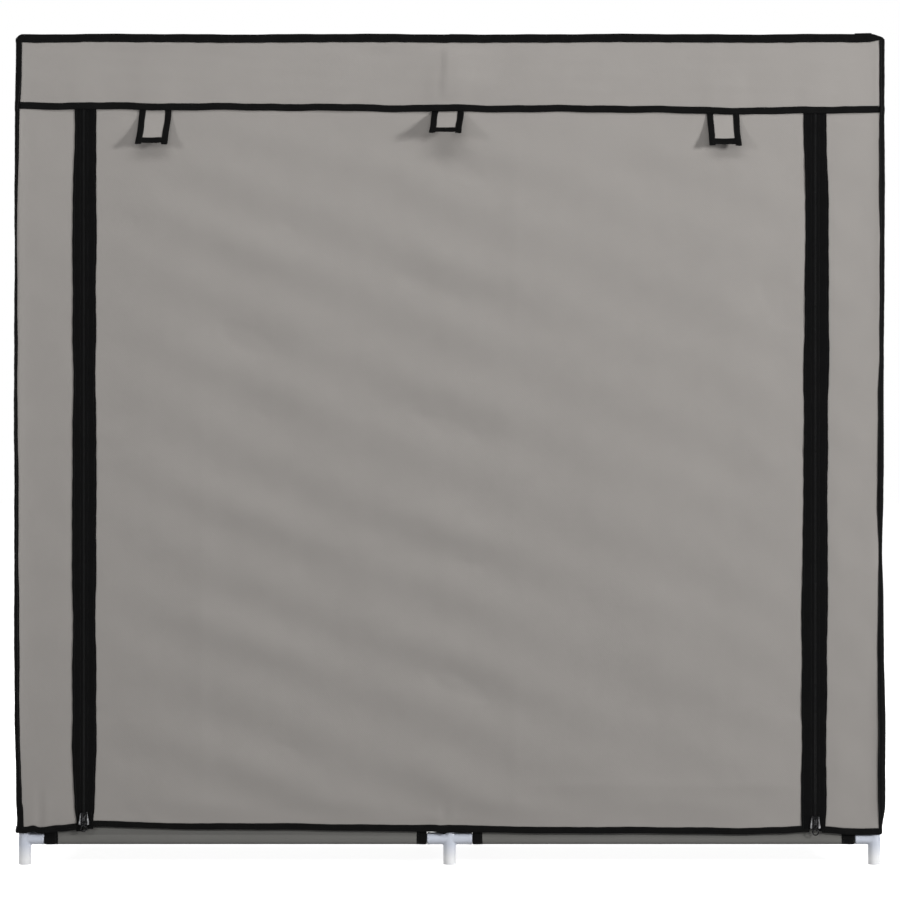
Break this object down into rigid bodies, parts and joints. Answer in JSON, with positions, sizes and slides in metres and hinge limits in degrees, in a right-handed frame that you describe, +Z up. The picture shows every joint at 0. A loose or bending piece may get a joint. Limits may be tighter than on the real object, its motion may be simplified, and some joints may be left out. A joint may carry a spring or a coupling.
{
  "type": "fabric shoe cabinet",
  "caption": "Low, wide, free-standing shoe cabinet: tubes and moulded connectors carry sling shelves under a zip-up nonwoven cover whose front door rolls up.",
  "frame": {"origin": "on the floor, under the middle of the whole object's box, straps included", "axes": "+Z up, the door faces -Y, +X to the right of someone who faces the door"},
  "size_m": [1.15, 0.3144, 1.1],
  "materials": {
    "frame_plastic": "moulded satin",
    "rail_steel": "smooth coated",
    "cover_cloth": "point-bonded nonwoven",
    "shelf_cloth": "point-bonded nonwoven",
    "strap_cloth": "point-bonded nonwoven",
    "zip_tape": "woven tape",
    "binding_tape": "folded tape",
    "zip_metal": "dark plated"
  },
  "bodies": {
    "cabinet": {"left_ladder": "frame_plastic", "middle_ladder": "frame_plastic", "right_ladder": "frame_plastic", "left_front_rail_0": "rail_steel", "left_front_rail_1": "rail_steel", "left_front_rail_2": "rail_steel", "left_front_rail_3": "rail_steel", "left_front_rail_4": "rail_steel", "left_front_rail_5": "rail_steel", "left_front_rail_6": "rail_steel", "left_rear_rail_0": "rail_steel", "left_rear_rail_1": "rail_steel", "left_rear_rail_2": "rail_steel", "left_rear_rail_3": "rail_steel", "left_rear_rail_4": "rail_steel", "left_rear_rail_5": "rail_steel", "left_rear_rail_6": "rail_steel", "right_front_rail_0": "rail_steel", "right_front_rail_1": "rail_steel", "right_front_rail_2": "rail_steel", "right_front_rail_3": "rail_steel", "right_front_rail_4": "rail_steel", "right_front_rail_5": "rail_steel", "right_front_rail_6": "rail_steel", "right_rear_rail_0": "rail_steel", "right_rear_rail_1": "rail_steel", "right_rear_rail_2": "rail_steel", "right_rear_rail_3": "rail_steel", "right_rear_rail_4": "rail_steel", "right_rear_rail_5": "rail_steel", "right_rear_rail_6": "rail_steel", "left_shelf_0": "shelf_cloth", "left_shelf_1": "shelf_cloth", "left_shelf_2": "shelf_cloth", "left_shelf_3": "shelf_cloth", "left_shelf_4": "shelf_cloth", "left_shelf_5": "shelf_cloth", "right_shelf_0": "shelf_cloth", "right_shelf_1": "shelf_cloth", "right_shelf_2": "shelf_cloth", "right_shelf_3": "shelf_cloth", "right_shelf_4": "shelf_cloth", "right_shelf_5": "shelf_cloth", "roof_panel": "cover_cloth", "back_panel": "cover_cloth", "header_panel": "cover_cloth", "left_side_panel": "cover_cloth", "right_side_panel": "cover_cloth", "top_seam": "binding_tape", "left_zip_tape": "zip_tape", "right_zip_tape": "zip_tape", "door_panel": "cover_cloth"},
    "door_hem": {"door_hem": "binding_tape"},
    "left_slider": {"left_slider": "zip_metal"},
    "left_pull": {"left_pull": "zip_metal"},
    "right_slider": {"right_slider": "zip_metal"},
    "right_pull": {"right_pull": "zip_metal"},
    "left_strap": {"left_strap": "strap_cloth"},
    "middle_strap": {"middle_strap": "strap_cloth"},
    "right_strap": {"right_strap": "strap_cloth"}
  },
  "joints": [
    {"name": "door_roll", "type": "slide", "parent": "cabinet", "child": "door_hem", "axis": [0, 0, 1], "range_m": [0, 0.885], "deforming": ["door_panel"]},
    {"name": "left_zip_slide", "type": "slide", "parent": "cabinet", "child": "left_slider", "axis": [0, 0, 1], "range_m": [0, 0.885]},
    {"name": "left_pull_swing", "type": "hinge", "parent": "left_slider", "child": "left_pull", "pos_m": [-0.4845, -0.1256, 0.0619], "axis": [-1, 0, 0], "range_deg": [0, 170]},
    {"name": "right_zip_slide", "type": "slide", "parent": "cabinet", "child": "right_slider", "axis": [0, 0, 1], "range_m": [0, 0.885]},
    {"name": "right_pull_swing", "type": "hinge", "parent": "right_slider", "child": "right_pull", "pos_m": [0.4845, -0.1256, 0.0569], "axis": [-1, 0, 0], "range_deg": [0, 170]},
    {"name": "left_strap_swing", "type": "hinge", "parent": "cabinet", "child": "left_strap", "pos_m": [-0.38985, -0.12161, 0.9979], "axis": [-1, 0, 0], "range_deg": [-12, 68]},
    {"name": "middle_strap_swing", "type": "hinge", "parent": "cabinet", "child": "middle_strap", "pos_m": [-0.0023, -0.12161, 0.9979], "axis": [-1, 0, 0], "range_deg": [-38, 42]},
    {"name": "right_strap_swing", "type": "hinge", "parent": "cabinet", "child": "right_strap", "pos_m": [0.36225, -0.12161, 0.9979], "axis": [-1, 0, 0], "range_deg": [-7, 73]}
  ],
  "couplings": [
    {"joint": "left_zip_slide", "follows": "door_roll", "ratio": 1},
    {"joint": "right_zip_slide", "follows": "door_roll", "ratio": 1}
  ]
}
